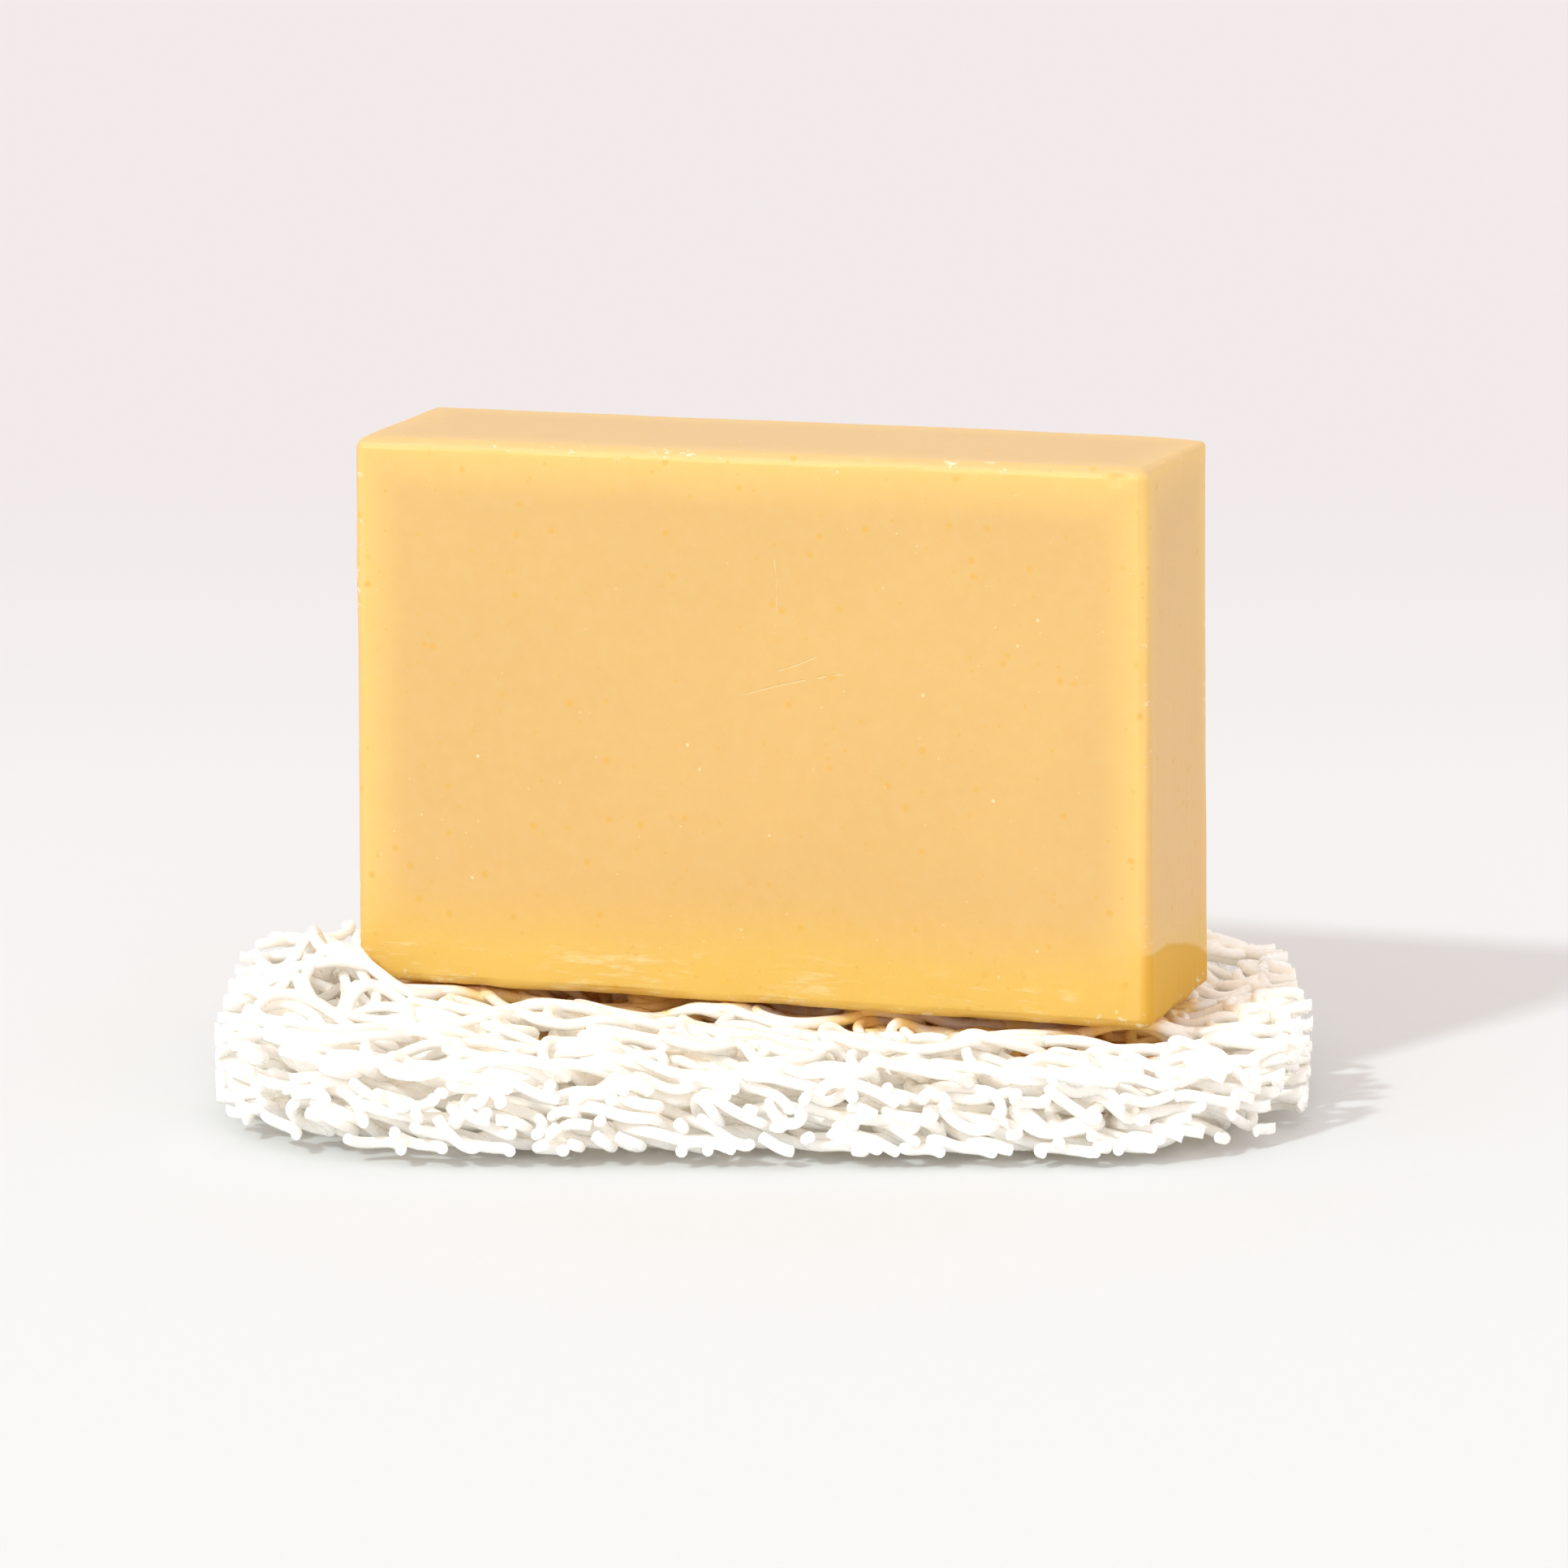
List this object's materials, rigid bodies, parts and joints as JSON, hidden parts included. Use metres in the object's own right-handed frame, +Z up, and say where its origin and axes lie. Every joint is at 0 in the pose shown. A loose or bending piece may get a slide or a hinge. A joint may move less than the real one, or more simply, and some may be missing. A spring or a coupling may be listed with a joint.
{
  "type": "cleaning bar on a draining mat",
  "caption": "Rectangular yellow cleaning bar with rounded edges, standing on its long narrow edge on a white draining mat of looped, welded plastic filament.",
  "frame": {"origin": "centre of the mat's underside, on the surface that it rests on", "axes": "+X along the mat's long side, +Y from its front to its back, +Z up"},
  "size_m": [0.1198, 0.0808, 0.0716],
  "materials": {
    "bar_compound": "smooth, waxy and slightly translucent, with fine pinholes and specks",
    "mat_filament": "glossy flexible white plastic filament"
  },
  "bodies": {
    "mat": {"mat_filament_bottom_1": "mat_filament", "mat_filament_bottom_2": "mat_filament", "mat_filament_bottom_3": "mat_filament", "mat_filament_bottom_4": "mat_filament", "mat_filament_bottom_5": "mat_filament", "mat_filament_bottom_6": "mat_filament", "mat_filament_bottom_7": "mat_filament", "mat_filament_bottom_8": "mat_filament", "mat_filament_bottom_9": "mat_filament", "mat_filament_bottom_10": "mat_filament", "mat_filament_bottom_11": "mat_filament", "mat_filament_middle_1": "mat_filament", "mat_filament_middle_2": "mat_filament", "mat_filament_middle_3": "mat_filament", "mat_filament_middle_4": "mat_filament", "mat_filament_middle_5": "mat_filament", "mat_filament_middle_6": "mat_filament", "mat_filament_middle_7": "mat_filament", "mat_filament_middle_8": "mat_filament", "mat_filament_middle_9": "mat_filament", "mat_filament_middle_10": "mat_filament", "mat_filament_top_1": "mat_filament", "mat_filament_top_2": "mat_filament", "mat_filament_top_3": "mat_filament", "mat_filament_top_4": "mat_filament", "mat_filament_top_5": "mat_filament", "mat_filament_top_6": "mat_filament", "mat_filament_top_7": "mat_filament", "mat_filament_top_8": "mat_filament", "mat_filament_top_9": "mat_filament", "mat_filament_top_10": "mat_filament", "mat_filament_top_11": "mat_filament"},
    "bar": {"cleaning_bar": "bar_compound"}
  },
  "joints": [
    {"name": "bar_lift", "type": "slide", "parent": "mat", "child": "bar", "axis": [0, 0, 1], "range_m": [0, 0.04]}
  ]
}
